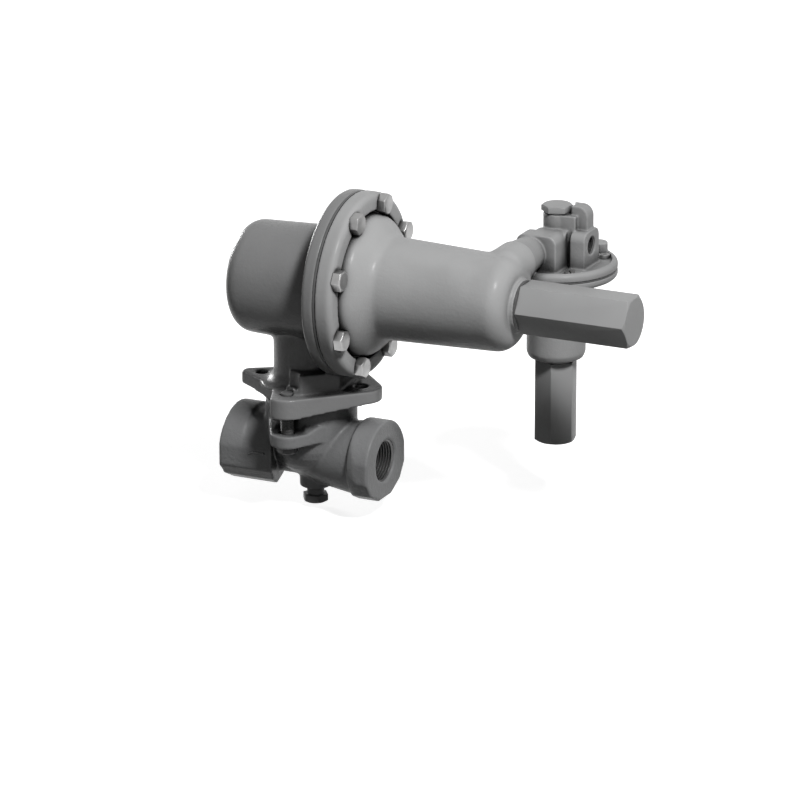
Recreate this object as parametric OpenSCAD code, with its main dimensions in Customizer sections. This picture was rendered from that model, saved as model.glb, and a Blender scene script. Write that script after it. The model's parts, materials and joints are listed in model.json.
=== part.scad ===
// Pilot-loaded gas pressure regulator with threaded ports.
// Millimetres. The origin is the centre of the inlet mouth on the flow axis.
// +X runs along the flow, from inlet to outlet, and +Z is up.
// The actuator axis lies above the flow axis and is parallel to it.

/* [Valve body] */
// Length from the inlet face to the outlet face
face_to_face = 124; // [118:1:136]
// Radius of the tapped wall in both line ports
port_r = 16.2; // [15:0.1:17]
// Depth of the tapped wall in both line ports
port_depth = 19; // [16:0.5:21]
// Length of each end collar
collar_len = 18.3; // [16:0.1:22]
// Half width of the end collars
collar_half_w = 34; // [32:0.5:36]
// Height of the crown of the end collars above the flow axis
collar_crown = 31; // [29:0.5:33]
// Depth of the flat underside of the outlet collar below the flow axis
collar_under = 29; // [28:0.5:31]
// Depth of the flat underside of the inlet end below the flow axis
inlet_under = 26.7; // [26:0.1:28]
// Half width of the flat underside
collar_under_half = 11; // [9:0.5:12]
// Height at which the upright side flats end
flat_top = 6; // [4:0.5:8]
// Depth at which the upright side flats end
flat_under = 10; // [8:0.5:12]
// Length of the deep inlet block, from the inlet face
inlet_block_len = 38.5; // [36:0.5:42]
// Height of the crown of the deep inlet block above the flow axis
inlet_crown = 28.5; // [27:0.5:29.5]
// Slant of the block's end, seen from above
inlet_block_slant = 15; // [12:1:20]
// Radius of the belly below the seat
belly_r = 19; // [18:0.5:22]
// Radius of the outlet cone at its narrow end
outlet_cone_r1 = 25; // [24:0.5:27]
// Radius of the outlet cone at the collar
outlet_cone_r2 = 29; // [28:0.5:31]
// Radius of the upright bonnet neck
bonnet_r = 34.7; // [33.5:0.1:36]
// Height of the joint between the valve body and the casing
joint_z = 43.6; // [42:0.2:46]
// Radius of the bonnet bore
bonnet_bore_r = 26; // [24:0.5:27]
// Height of the floor of the bonnet bore
chamber_floor_z = 12; // [11:0.2:13]
// Radius of the inlet passage
inlet_passage_r = 10.5; // [9.5:0.5:11]
// Depth of the inlet passage's axis below the flow axis
inlet_passage_drop = 5; // [4.5:0.25:5.5]
// Radius of the outlet passage
outlet_passage_r = 9.5; // [8.5:0.5:10]
// Radius of the drain boss
drain_boss_r = 12; // [11:0.5:13]
// Depth of the underside of the drain boss
drain_boss_depth = 27.8; // [26:0.2:30]
// Offset of the drain boss from the stem axis
drain_boss_dx = 3; // [1:0.5:4]
// Radius of the drain plug's thread
drain_r = 6.5; // [6:0.25:7]
// Width across flats of the drain plug's head
drain_af = 17.5; // [16:0.5:19]
// Height of the drain plug's head
drain_head_h = 6; // [5:0.5:7]
// Length of plug between boss and head
drain_reach = 6.2; // [4:0.2:8]

/* [Body joint] */
// Distance of the body cap screws from the stem axis
ear_bolt_r = 41.5; // [40.5:0.5:43]
// Corner radius of the two ears
ear_corner_r = 13; // [12:0.5:14]
// Thickness of the ears
ear_t = 10; // [9:0.5:11]
// Gap between the ears and the casing's square flange
ear_gap = 17; // [15:0.5:18]
// Radius of the cap screws' thread
cap_screw_r = 4.75; // [4.5:0.05:5]
// Width across flats of every 3/8 inch screw head
screw_af = 14.3; // [13.5:0.1:15]
// Height of the heads of the body cap screws
cap_head_h = 6.2; // [5.6:0.1:7]
// Thickness of the square flange above the body joint
square_flange_t = 13; // [12:0.5:15]
// Depth of the square flange's underside below the joint, over the ears
square_flange_drop = 3; // [2:0.25:3.5]
// Height of that underside above the joint, at the other two corners
square_flange_lift = 2.8; // [2:0.25:3.5]
// Corner radius of the square flange
square_corner_r = 16; // [15:0.5:17]
// Half width of that flange's corners where its sides are hollowed towards the inlet
flange_ear_half = 12; // [11:0.5:13]
// Depth of the spot faces under the heads of the body cap screws
spot_face_depth = 0.4; // [0.3:0.1:1]
// Section radius of the body seal
body_seal_r = 1.2; // [1:0.1:1.4]

/* [Trim] */
// Radius of the orifice
orifice_r = 9.5; // [8.5:0.25:10]
// Outer radius of the seat ring's thread
seat_thread_r = 12; // [11.6:0.1:12.4]
// Radius of the seat ring's flange
seat_flange_r = 15; // [14:0.5:16]
// Height of the seat ring's flange
seat_flange_h = 2; // [1.6:0.1:2.4]
// Height of the seating edge above the flange
seat_edge_h = 1; // [0.8:0.1:1.2]
// Radius of the soft disc
disc_r = 11.5; // [11.1:0.1:12]
// Thickness of the soft disc
disc_t = 3; // [2.5:0.1:3.5]
// Radius of the disc holder
holder_r = 14; // [13.5:0.25:15]
// Radius of the valve stem
stem_r = 4.5; // [4:0.1:4.8]
// Radius of the stem guide's pressed shank
guide_r = 10; // [9:0.5:11]
// Radius of the stem guide's flange
guide_flange_r = 14; // [13:0.5:15]
// Height of the stem guide's flange
guide_flange_h = 3; // [2.5:0.5:4]
// Radius of the two cross pins
cross_pin_r = 2.6; // [2.4:0.1:2.8]

/* [Lever] */
// Distance of the lever's pivot behind the stem axis
short_arm = 18; // [17:0.5:19]
// Height of the actuator axis above the lever's pivot
long_arm = 30; // [28:0.5:32]
// Travel of the main diaphragm
diaphragm_travel = 9; // [7:0.5:9.5]
// Radius of the lever's pivot pin
pivot_pin_r = 4; // [3.6:0.1:4.4]
// Radius of the lever's hub
hub_r = 8; // [7.5:0.25:8.5]
// Thickness of each cheek of the lever
cheek_t = 3; // [2.5:0.25:3.5]
// Half width of each arm of the lever
arm_half_w = 5.6; // [5.2:0.1:6]
// Half width of the slots that hold the cross pins
slot_half_w = 3.1; // [3:0.1:3.3]

/* [Rear casing] */
// Height of the actuator axis above the body joint
axis_rise = 93.4; // [92:0.2:96]
// Distance of the casing seam in front of the stem axis
seam_dx = 35.8; // [35:0.2:38]
// Distance of the housing's end behind the stem axis
housing_back = 55; // [53:0.5:58]
// Radius of the housing at its closed end
housing_r1 = 43; // [42:0.5:44]
// Radius of the housing at the flange
housing_r2 = 46; // [45:0.5:47]
// Drop of the housing's centre below the actuator axis
housing_drop = 4.5; // [4:0.25:5]
// Rounding of the housing's closed end
housing_round = 13; // [11:0.5:15]
// Radius of the housing's cavity
housing_bore_r = 36; // [35:0.5:37]
// Thickness of the housing's closed end
housing_end_t = 5; // [4:0.5:6]
// Radius of the neck
neck_r = 28.6; // [27.5:0.1:30]
// Radius of the neck's bore
neck_bore_r = 20; // [19:0.5:21]
// Thickness of the floor that carries the stem guide
neck_floor_t = 14.4; // [13.4:0.2:16]
// Fillet between the neck and the square flange
neck_fillet = 10; // [8:0.5:11]
// Inset of the pedestal from the square flange's outline
pedestal_inset = 8; // [7:0.5:10]
// Height of the pedestal above the square flange
pedestal_h = 15.5; // [14:0.5:17]
// Thickness of the rear casing flange
rear_flange_t = 10.2; // [9.5:0.1:12]
// Half width of the gap between the pivot lugs
lug_gap_half = 9; // [8.7:0.1:9.3]
// Thickness of each pivot lug
lug_t = 5.5; // [5:0.25:6]

/* [Casing flanges] */
// Radius of both casing flanges
flange_r = 70; // [69:0.5:72]
// Number of casing screws
screw_count = 8; // [6:1:8]
// Radius of the circle of casing screws
screw_circle_r = 61.8; // [61.4:0.1:62.4]
// Angle of the first casing screw above +Y
screw_clock = -18.5; // [-22.5:0.5:-15]
// Height of the casing screws' heads
screw_head_h = 7; // [6:0.25:8]
// Thickness of the diaphragm
diaphragm_t = 1.6; // [1.2:0.1:2]
// Radius of the chamber that holds the convolution
pan_r = 50.3; // [50:0.1:51]
// Depth of the chamber in the rear flange
pan_depth = 3.3; // [3.3:0.1:4]
// Mid radius of the diaphragm's convolution
roll_r = 45.5; // [45:0.1:46]
// Radius of the convolution's arc, at mid thickness
roll_arc_r = 4; // [3.6:0.1:4.2]

/* [Diaphragm plates] */
// Radius of both diaphragm plates
plate_r = 40; // [38:0.5:40.5]
// Thickness of the plate on the pressure side
plate_t = 3; // [2.5:0.1:3.1]
// Thickness of the head on the spring side
head_t = 3.4; // [3:0.1:4]
// Radius of the pusher post
post_r = 6; // [5.5:0.25:6.5]
// Radius of the threaded end of the post
post_stud_r = 5; // [4.5:0.25:5.2]
// Width across flats of the clamping nut
nut_af = 16; // [15:0.5:17]
// Height of the clamping nut
nut_h = 7.5; // [6:0.5:8.5]

/* [Spring case] */
// Thickness of the spring case's flange at the screws
front_flange_t = 12.2; // [11.5:0.1:13]
// Height of the raised rim above the screw seats
rim_h = 1.3; // [0.8:0.1:1.8]
// Inner radius of the raised rim
rim_r = 56.5; // [56:0.1:57]
// Rounding of the flange's outer edge
flange_round = 5; // [4:0.5:6]
// Chamfer of the casing flanges at the seam
seam_chamfer = 0.4; // [0.3:0.1:1]
// Depth of the groove inside the rim, from the rim's top
groove_depth = 8; // [6:0.5:9]
// Radius of the dome at its foot
dome_r = 53.5; // [53:0.1:54]
// Length from the seam to the end of the dome
dome_len = 35.5; // [34:0.5:38]
// Radius of the barrel next to the dome
barrel_r1 = 38.8; // [38:0.2:40]
// Radius of the barrel at its far end
barrel_r2 = 36; // [35:0.2:37]
// Length from the seam to the barrel's end face
barrel_len = 135.2; // [132:0.2:140]
// Rounding of the barrel's far end
barrel_round = 14; // [12:0.5:15]
// Thickness of the barrel's wall
barrel_wall = 4.5; // [4:0.25:5]
// Thickness of the barrel's end
barrel_end_t = 13; // [11:0.5:15]
// Radius of the shoulder behind the main closing cap
shoulder_r = 20; // [19:0.25:20.5]
// Length of that shoulder
shoulder_len = 3.7; // [3:0.1:5]
// Radius of the nose that the cap screws onto
nose_r = 15; // [14.5:0.25:15.5]
// Length of the nose beyond the shoulder
nose_len = 15.5; // [13:0.5:18]
// Radius of the pilot boss on the barrel
boss_r = 16.3; // [15.5:0.1:17]
// Distance of the pilot boss behind the barrel's end face
boss_back = 17; // [16.5:0.25:18]
// Height of the pilot boss's centre above the actuator axis
boss_rise = 23; // [22:0.5:23.5]
// Reach of the pilot boss from the actuator axis
boss_reach = 32.5; // [31:0.5:34]

/* [Main spring and cap] */
// Outer radius of the main spring
spring_or = 22; // [21:0.5:23]
// Radius of the main spring's wire
spring_wire_r = 2.7; // [2.4:0.1:3]
// Number of turns of the main spring
spring_turns = 9; // [7:1:11]
// Distance of the main spring's seat from the seam
spring_seat_x = 98.5; // [94:0.5:102]
// Thickness of the spring seat
spring_seat_t = 6; // [5:0.5:7]
// Radius of the spring seat
spring_seat_r = 27; // [26:0.5:28]
// Radius of the main adjusting screw
adjust_r = 8; // [7.5:0.25:8.5]
// Pitch of the main adjusting screw
adjust_pitch = 2; // [1.5:0.25:2.5]
// Length of the main adjusting screw
adjust_len = 84; // [78:1:90]
// Width across flats of the main lock nut
lock_af = 24; // [22:0.5:25]
// Height of the main lock nut
lock_h = 9; // [7:0.5:10]
// Thickness of the seal ring under the cap
cap_gasket_t = 2; // [1.5:0.1:2.5]
// Width across flats of the main closing cap
cap_af = 36.1; // [35:0.1:38]
// Length of the main closing cap
cap_len = 87.3; // [85:0.1:92]
// Thickness of the closed end of the cap
cap_end_t = 7; // [5:0.5:9]

/* [Pilot] */
// Distance of the pilot axis behind the barrel's end face
pilot_back = 8; // [7.5:0.25:9]
// Distance of the pilot axis from the actuator axis
pilot_y = 87; // [85:0.5:90]
// Height of the pilot seam above the actuator axis
pilot_seam_rise = 5.5; // [5:0.25:6]
// Radius of both pilot flanges
pilot_flange_r = 46; // [45:0.5:47]
// Height of the rim of the pilot body's flange
pilot_flange_t = 6.4; // [6:0.1:7]
// Depth of the recess inside that rim
pilot_recess = 2.8; // [2.4:0.1:3]
// Width of that rim
pilot_rim_w = 4.5; // [4:0.25:5]
// Height of the cast boss above that rim
pilot_pad_h = 7; // [5:0.5:8]
// Thickness of the pilot spring case's flange
lower_flange_t = 6; // [5.5:0.1:6.5]
// Number of pilot casing screws
pilot_screw_count = 4; // [4:1:8]
// Radius of the circle of pilot casing screws
pilot_screw_circle_r = 37; // [36.5:0.25:37.5]
// Angle of the first pilot casing screw from +X
pilot_screw_clock = 38.5; // [30:0.5:44]
// Radius of the pilot casing screws
pilot_screw_r = 2.4; // [2.2:0.1:2.6]
// Radius of the pilot screws' heads
pilot_head_r = 4.2; // [4:0.1:4.4]
// Height of the pilot screws' heads
pilot_head_h = 3; // [2.5:0.25:3.5]
// Radius of the bosses under the lower pilot flange
pilot_lug_r = 5.4; // [5:0.2:6]
// Height of those bosses
pilot_lug_h = 7; // [6:0.5:7.5]
// Thickness of the pilot diaphragm
pilot_diaphragm_t = 1; // [0.8:0.1:1.4]
// Radius of the pilot diaphragm chambers
pilot_pan_r = 30; // [28:0.5:31]
// Depth of the chamber above the pilot diaphragm
pilot_pan_up = 1.5; // [1.5:0.1:1.7]
// Half width of the hub block
block_half_w = 12.5; // [12:0.25:13]
// Half width of the port block
port_block_half_w = 14; // [13.5:0.25:14.5]
// Reach of the thick part of the hub block towards the pilot axis
hub_block_stop = 16; // [15:0.5:18]
// Reach of the hub block behind the pilot axis
block_reach_back = 20; // [19:0.5:21]
// Reach of the port block along +X
block_reach_x = 28.5; // [28:0.5:30]
// Reach of the hub block along -Y
block_reach_y = 31; // [30:0.5:32]
// Height of the port blocks above the pilot seam
block_top = 32; // [31.5:0.25:33]
// Rounding of the port blocks' upper corners
block_round = 7; // [6:0.5:8]
// Radius of the core between the blocks
core_r = 13; // [12.5:0.25:13.5]
// Radius of the tower that holds the top plug
tower_r = 10.5; // [10.2:0.1:11]
// Height of the tower above the pilot seam
tower_top = 42.8; // [42:0.2:44]
// Reach of the solid lobe beside the top plug, along +X
lobe_reach = 26.5; // [25.5:0.25:27.5]
// Rounding of the lobe's crown
lobe_round = 8; // [7:0.25:9]
// Depth of the lobe across the flow axis
lobe_w = 12; // [11:0.5:13]
// Height of the lobe above the pilot seam
lobe_top = 50; // [49:0.25:51]
// Radius of the hub at the boss
hub_r1 = 15.5; // [15:0.25:15.5]
// Radius of the hub at the pilot's block
hub_r2 = 13; // [12:0.25:13.5]
// Radius of the spigot that screws into the boss
spigot_r = 10.5; // [10:0.25:11]
// Length of the spigot
spigot_len = 9; // [8:0.5:10]
// Radius of the tapped wall in the pilot port
pilot_port_r = 6.85; // [6.4:0.05:7.1]
// Depth of the tapped wall in the pilot port
pilot_port_depth = 12; // [10:0.5:13]
// Height of the pilot port above the pilot seam
pilot_port_z = 20; // [19.5:0.25:20.5]
// Radius of the pilot's passages
pilot_passage_r = 3; // [2.5:0.25:3.5]
// Radius of the pilot's valve chamber
valve_chamber_r = 7.5; // [7:0.1:8]
// Travel of the pilot diaphragm
pilot_travel = 1.5; // [1.2:0.1:1.6]
// Radius of the pilot seat's thread
pilot_seat_r = 6; // [5.8:0.1:6.4]
// Radius of the pilot orifice
pilot_orifice_r = 3.6; // [3.2:0.1:4]
// Radius of the pilot pusher's stem
pusher_r = 2; // [1.8:0.1:2.2]
// Radius of the pilot diaphragm plates
pusher_plate_r = 20; // [18:0.5:22]
// Thickness of the pilot diaphragm plates
pusher_plate_t = 1.1; // [1:0.1:1.2]
// Width across flats of the top plug
top_plug_af = 21; // [20:0.5:22]
// Height of the top plug's head
top_plug_h = 5; // [4:0.5:6]
// Thickness of the seal ring under the top plug
top_seal_t = 1.2; // [1:0.1:1.5]
// Angle of the top plug's first corner from +X
top_plug_clock = 20; // [0:1:60]

/* [Pilot spring and cap] */
// Radius of the pilot spring case below its flange
cone_r1 = 34; // [32.5:0.5:35]
// Radius of the spring tube
tube_r = 22.4; // [21.5:0.1:23]
// Depth below the seam at which the cone meets the tube
cone_depth = 25; // [23:0.5:28]
// Radius of the tube's bore
tube_bore_r = 17; // [16.5:0.25:17.5]
// Rounding of the tube's lower end
tube_round = 5.5; // [4.5:0.25:6]
// Depth of the tube's lower end below the pilot seam
tube_depth = 71.5; // [69:0.5:73]
// Radius of the nose that the pilot cap screws onto
pilot_nose_r = 11.5; // [11:0.1:12]
// Length of that nose
pilot_nose_len = 12; // [10:0.5:14]
// Outer radius of the pilot spring
pilot_spring_or = 13; // [12:0.25:13.5]
// Radius of the pilot spring's wire
pilot_wire_r = 1.4; // [1.2:0.1:1.6]
// Number of turns of the pilot spring
pilot_spring_turns = 8; // [6:1:10]
// Depth of the pilot spring's seat below the pilot seam
pilot_seat_depth = 42; // [40:0.5:45]
// Thickness of the pilot spring's seat
pilot_spring_seat_t = 4; // [3.5:0.25:5]
// Radius of the pilot adjusting screw
pilot_adjust_r = 4.75; // [4.5:0.05:5]
// Pitch of the pilot adjusting screw
pilot_adjust_pitch = 1.5; // [1.25:0.25:2]
// Length of the pilot adjusting screw
pilot_adjust_len = 64; // [60:1:68]
// Width across flats of the pilot lock nut
pilot_lock_af = 17; // [16:0.5:17.5]
// Height of the pilot lock nut
pilot_lock_h = 6.5; // [5:0.5:8]
// Thickness of the seal ring above the pilot cap
pilot_gasket_t = 1.2; // [1:0.1:1.6]
// Width across flats of the pilot closing cap
pilot_cap_af = 28.6; // [28:0.1:30]
// Length of the pilot closing cap
pilot_cap_len = 64.2; // [60:0.2:66]
// Angle of the pilot cap's first corner from +X
pilot_cap_clock = -19; // [-30:0.5:30]
// Thickness of the closed end of the pilot cap
pilot_cap_end_t = 5; // [4:0.5:7]

/* [Hidden] */
$fn = 64;

// Running clearance on the radius of a piece that slides or turns
run_fit = 0.05;
// Clearance on the radius of a piece that is screwed or pressed in
seat_fit = 0.02;
// Gap between two faces that meet when a moving piece reaches its stop
stop_gap = 0.05;
// Overlap that joins the volumes of one casting
weld = 1;
// Radius of the clearance hole for a 3/8 inch screw
screw_clear_r = cap_screw_r + 0.45;
// Radius of a tapped hole for a 3/8 inch screw
screw_tap_r = cap_screw_r + seat_fit;

// Places along the flow axis
stem_x = face_to_face / 2;
seam_x = stem_x + seam_dx;
end_x = seam_x + barrel_len;
pivot_x = stem_x - short_arm;
// Heights
axis_z = joint_z + axis_rise;
pivot_z = axis_z - long_arm;
flange_top_z = joint_z + square_flange_t;
ear_top_z = joint_z - ear_gap;
ear_bottom_z = ear_top_z - ear_t;
// Valve travel that the lever makes out of the diaphragm's travel
valve_lift = diaphragm_travel * short_arm / long_arm;
seat_top_z = chamber_floor_z + seat_flange_h + seat_edge_h;
disc_z = seat_top_z + valve_lift + stop_gap;
holder_top_z = disc_z + disc_t + 5;
// Half thickness of the diaphragm, on either side of the seam
half_t = diaphragm_t / 2;
// Heights of the spring case's steps above the seam
screw_seat_h = half_t + front_flange_t;
rim_top_h = screw_seat_h + rim_h;
groove_floor_h = rim_top_h - groove_depth;
dome_foot_h = screw_seat_h + 0.6;
nose_start_h = barrel_len + shoulder_len;
cap_start_h = nose_start_h + cap_gasket_t;
nose_end_h = nose_start_h + nose_len;
head_top_h = half_t + head_t;
// Radius of a pocket that clears a 3/8 inch screw's head and its spanner
head_pocket_r = screw_af / sqrt(3) + 1.2;
// Seat of the body cap screws' heads
cap_head_z = ear_bottom_z + spot_face_depth;
// Pilot axis and seam
pilot_x = end_x - pilot_back;
pilot_z = axis_z + pilot_seam_rise;
hub_x = end_x - boss_back;
hub_z = axis_z + boss_rise;
// Floor of the pedestal's pockets above the body cap screws
pedestal_pocket_z = flange_top_z + 4;
pilot_half_t = pilot_diaphragm_t / 2;
// Heights above the pilot seam
pilot_pan_top = pilot_half_t + pilot_pan_up;
mixing_floor = pilot_pan_top + 4;
mixing_top = mixing_floor + 5;
pilot_seat_floor = mixing_top + 2;
chamber_floor = pilot_seat_floor + 5;
pilot_seat_top = chamber_floor + 1;
plug_bottom = pilot_seat_top + pilot_travel + stop_gap;
plug_top = plug_bottom + 9.5;
top_plug_floor = tower_top - 6.5;
hub_rise = hub_z - pilot_z;
pilot_nose_end = tube_depth + pilot_nose_len;
pilot_cap_start = tube_depth + pilot_gasket_t;
lower_plate_floor = pilot_half_t + pusher_plate_t;

// Points on an arc, from angle a0 to angle a1
function arc_points(centre, r, a0, a1, steps = 8) =
    [for (i = [0:steps]) let (a = a0 + (a1 - a0) * i / steps) centre + r * [cos(a), sin(a)]];

// Solid of revolution about Z from [radius, height] points
module turned(points) {
    rotate_extrude() polygon(points);
}

module rod_x(x0, x1, r, y = 0, z = 0) {
    translate([x0, y, z]) rotate([0, 90, 0]) cylinder(r = r, h = x1 - x0);
}

module rod_y(y0, y1, r, x = 0, z = 0) {
    translate([x, y0, z]) rotate([-90, 0, 0]) cylinder(r = r, h = y1 - y0);
}

module rod_z(z0, z1, r, x = 0, y = 0) {
    translate([x, y, z0]) cylinder(r = r, h = z1 - z0);
}

// Ring from a to b in height
module ring(r_in, r_out, a, b) {
    difference() {
        rod_z(a, b, r_out);
        rod_z(a - weld, b + weld, r_in);
    }
}

// Extrudes an outline of [y, z] points along X
module along_x(x0, len) {
    translate([x0, 0, 0]) rotate([90, 0, 90]) linear_extrude(len) children();
}

// Local Z runs along the actuator axis from the seam, local X points down
module at_axis() {
    translate([seam_x, 0, axis_z]) rotate([0, 90, 0]) children();
}

// Local origin is where the pilot axis meets the pilot seam
module at_pilot() {
    translate([pilot_x, pilot_y, pilot_z]) children();
}

// Hexagonal prism with a corner on local X
module hexagon(af, h) {
    cylinder(r = af / sqrt(3), h = h, $fn = 6);
}

// Hexagonal prism whose upper corners are turned off at 30 degrees down to a face of radius top_r
module hex_head(af, h, top_r) {
    corner_r = af / sqrt(3);
    cone_r = corner_r + 1;
    intersection() {
        hexagon(af, h);
        turned([[0, -weld], [cone_r, -weld], [cone_r, h - (cone_r - top_r) * tan(30)],
            [top_r, h], [0, h]]);
    }
}

// Radius of the round face on a screw head, and of the full face on a cap or nut
function screw_face_r(af) = 0.44 * af;
function full_face_r(af) = af / 2 - 0.2;

// Close-wound ends and an open middle, standing on local Z = 0
module coil(outer_r, wire_r, height, turns, per_turn = 20, sides = 8) {
    mean_r = outer_r - wire_r;
    rings = turns * per_turn;
    lead = 2.06 * wire_r;
    free = (height - 2 * wire_r - 2 * lead) / (turns - 2);
    function level(t) = t < 1 ? wire_r + lead * t
        : t > turns - 1 ? height - wire_r - lead * (turns - t)
        : wire_r + lead + free * (t - 1);
    points = [for (i = [0:rings]) for (j = [0:sides - 1])
        let (a = 360 * i / per_turn, b = 360 * j / sides, r = mean_r + wire_r * cos(b))
        [r * cos(a), r * sin(a), level(i / per_turn) + wire_r * sin(b)]];
    skin = [for (i = [0:rings - 1]) for (j = [0:sides - 1])
        let (p = i * sides + j, q = i * sides + (j + 1) % sides)
        each [[p, q, p + sides], [q, q + sides, p + sides]]];
    ends = [[for (j = [sides - 1:-1:0]) j], [for (j = [0:sides - 1]) rings * sides + j]];
    polyhedron(points, concat(skin, ends));
}

// Faceted below, upright at the sides and round above
module collar_outline(under, crown) {
    centre = (crown * crown - collar_half_w * collar_half_w - flat_top * flat_top)
        / (2 * (crown - flat_top));
    lower = [[collar_under_half, -under], [collar_half_w - 8, -under + 7.5],
        [collar_half_w, -flat_under], [collar_half_w, flat_top]];
    polygon(concat([for (p = lower) p], [for (k = [3:-1:0]) [-lower[k][0], lower[k][1]]]));
    intersection() {
        translate([0, centre]) circle(r = crown - centre);
        translate([-collar_half_w, 0]) square([2 * collar_half_w, crown + weld]);
    }
}

// Ear outline: tangents from the neck to a rounded corner at [0, ear_bolt_r]
module ear_outline() {
    root_r = bonnet_r - 1.5;
    lean = acos((root_r - ear_corner_r) / ear_bolt_r);
    polygon(concat([root_r * [cos(90 - lean), sin(90 - lean)]],
        arc_points([0, ear_bolt_r], ear_corner_r, 90 - lean, 90 + lean, 12),
        [root_r * [cos(90 + lean), sin(90 + lean)]]));
}

// Square with rounded corners on the X and Y axes
module square_outline(corner_r) {
    polygon([for (k = [0:3])
        each arc_points(ear_bolt_r * [cos(90 * k), sin(90 * k)], corner_r,
            90 * k - 45, 90 * k + 45, 10)]);
}

module valve_body() {
    head_room = 6;
    color("dimgray") difference() {
        union() {
            along_x(0, collar_len) collar_outline(inlet_under, collar_crown);
            inlet_block();
            outlet_collar();
            rotate([0, 90, 0]) turned([[0, collar_len - weld], [belly_r, collar_len - weld],
                [belly_r, stem_x - 10], [outlet_cone_r1, stem_x + 17],
                [outlet_cone_r2, face_to_face - collar_len + weld],
                [0, face_to_face - collar_len + weld]]);
            bonnet_outside();
            drain_boss();
        }
        passages();
        for (side = [-1, 1]) {
            rod_z(ear_bottom_z - weld, joint_z + weld, screw_clear_r, stem_x, side * ear_bolt_r);
            rod_z(cap_head_z - cap_head_h - head_room, cap_head_z, head_pocket_r, stem_x,
                side * ear_bolt_r);
        }
        translate([stem_x, 0, 0])
            ring(seal_mid_r() - 1.1 * body_seal_r, seal_mid_r() + 1.1 * body_seal_r,
                joint_z - 2 * body_seal_r - 0.04, joint_z + weld);
    }
}

function seal_mid_r() = (bonnet_bore_r + bonnet_r) / 2;

// Flush with the inlet collar's sides, lower than its crown, and slanted off at its end
module inlet_block() {
    reach = collar_half_w + weld;
    front_x = inlet_block_len + (reach - collar_under_half) * tan(inlet_block_slant);
    back_x = inlet_block_len - (reach + collar_under_half) * tan(inlet_block_slant);
    intersection() {
        along_x(collar_len - weld, front_x - collar_len + weld)
            collar_outline(inlet_under, inlet_crown);
        translate([0, 0, -inlet_under - weld]) linear_extrude(inlet_under + inlet_crown + 2 * weld)
            polygon([[0, -reach], [front_x, -reach], [back_x, reach], [0, reach]]);
    }
}

// The outlet collar tapers towards the bonnet
module outlet_collar() {
    intersection() {
        along_x(face_to_face - collar_len, collar_len)
            collar_outline(collar_under, collar_crown);
        rotate([0, 90, 0]) turned([[0, face_to_face - collar_len - weld],
            [outlet_cone_r2 + 2.5, face_to_face - collar_len - weld],
            [outlet_cone_r2 + 8, face_to_face - 5], [outlet_cone_r2 + 8, face_to_face + weld],
            [0, face_to_face + weld]]);
    }
}

module bonnet_outside() {
    bowl_top = 14;
    ear_ramp_h = 4.5;
    bowl_depth = bowl_top + belly_r - 2;
    translate([stem_x, 0, 0]) {
        turned(concat([for (i = [0:8]) let (a = 90 - 90 * i / 8)
            [bonnet_r * cos(a), bowl_top - bowl_depth * sin(a)]],
            [[bonnet_r, joint_z], [0, joint_z]]));
        for (turn = [0, 180]) rotate(turn) difference() {
            union() {
                translate([0, 0, ear_bottom_z]) linear_extrude(ear_t) ear_outline();
                intersection() {
                    translate([0, 0, ear_top_z - weld])
                        linear_extrude(ear_ramp_h + weld) ear_outline();
                    turned([[0, ear_top_z - weld], [ear_bolt_r, ear_top_z - weld],
                        [ear_bolt_r, ear_top_z], [bonnet_r, ear_top_z + ear_ramp_h],
                        [0, ear_top_z + ear_ramp_h]]);
                }
            }
            rod_z(ear_top_z, joint_z, ear_corner_r - 0.5, 0, ear_bolt_r);
        }
    }
}

module drain_boss() {
    rod_z(-drain_boss_depth, -belly_r / 2, drain_boss_r, stem_x + drain_boss_dx);
}

module passages() {
    chamber_r = inlet_passage_r - 0.5;
    floor_z = -inlet_passage_drop - inlet_passage_r;
    // Distance from the stem axis to where the outlet passage opens into the bonnet
    outlet_mouth_dx = 18;
    rod_x(-weld, port_depth, port_r);
    rod_x(port_depth - weld, stem_x, inlet_passage_r, 0, -inlet_passage_drop);
    rod_z(floor_z, chamber_floor_z, chamber_r, stem_x);
    rod_z(chamber_floor_z - 5, chamber_floor_z + weld, seat_thread_r + seat_fit, stem_x);
    rod_z(chamber_floor_z, joint_z + weld, bonnet_bore_r, stem_x);
    rod_z(-drain_boss_depth - weld, floor_z + 2, drain_r + seat_fit, stem_x + drain_boss_dx);
    rod_x(face_to_face - port_depth, face_to_face + weld, port_r);
    outlet_run = face_to_face - port_depth - stem_x - outlet_mouth_dx;
    outlet_rise = chamber_floor_z + outlet_passage_r;
    translate([face_to_face - port_depth + weld, 0, 0])
        rotate([0, -90 + atan(outlet_rise / outlet_run), 0])
            cylinder(r = outlet_passage_r, h = norm([outlet_run, outlet_rise]));
}

module seat_ring() {
    color("silver") translate([stem_x, 0, 0]) difference() {
        union() {
            rod_z(chamber_floor_z - 4, chamber_floor_z + weld, seat_thread_r);
            rod_z(chamber_floor_z, chamber_floor_z + seat_flange_h, seat_flange_r);
            rod_z(chamber_floor_z, seat_top_z, orifice_r + 1.2);
        }
        rod_z(chamber_floor_z - 5, seat_top_z + weld, orifice_r);
    }
}

module valve_disc() {
    color("black") rod_z(disc_z, disc_z + disc_t, disc_r, stem_x);
}

module disc_holder() {
    color("silver") translate([stem_x, 0, 0]) difference() {
        rod_z(disc_z + 1, holder_top_z, holder_r);
        rod_z(disc_z, disc_z + disc_t, disc_r + seat_fit);
        rod_z(disc_z, holder_top_z + weld, stem_r - 1 + seat_fit);
    }
}

module valve_stem() {
    color("silver") difference() {
        union() {
            rod_z(disc_z + disc_t, holder_top_z + weld, stem_r - 1, stem_x);
            rod_z(holder_top_z, pivot_z + 7, stem_r, stem_x);
        }
        rod_y(-stem_r - weld, stem_r + weld, cross_pin_r + seat_fit, stem_x, pivot_z);
    }
}

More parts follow.
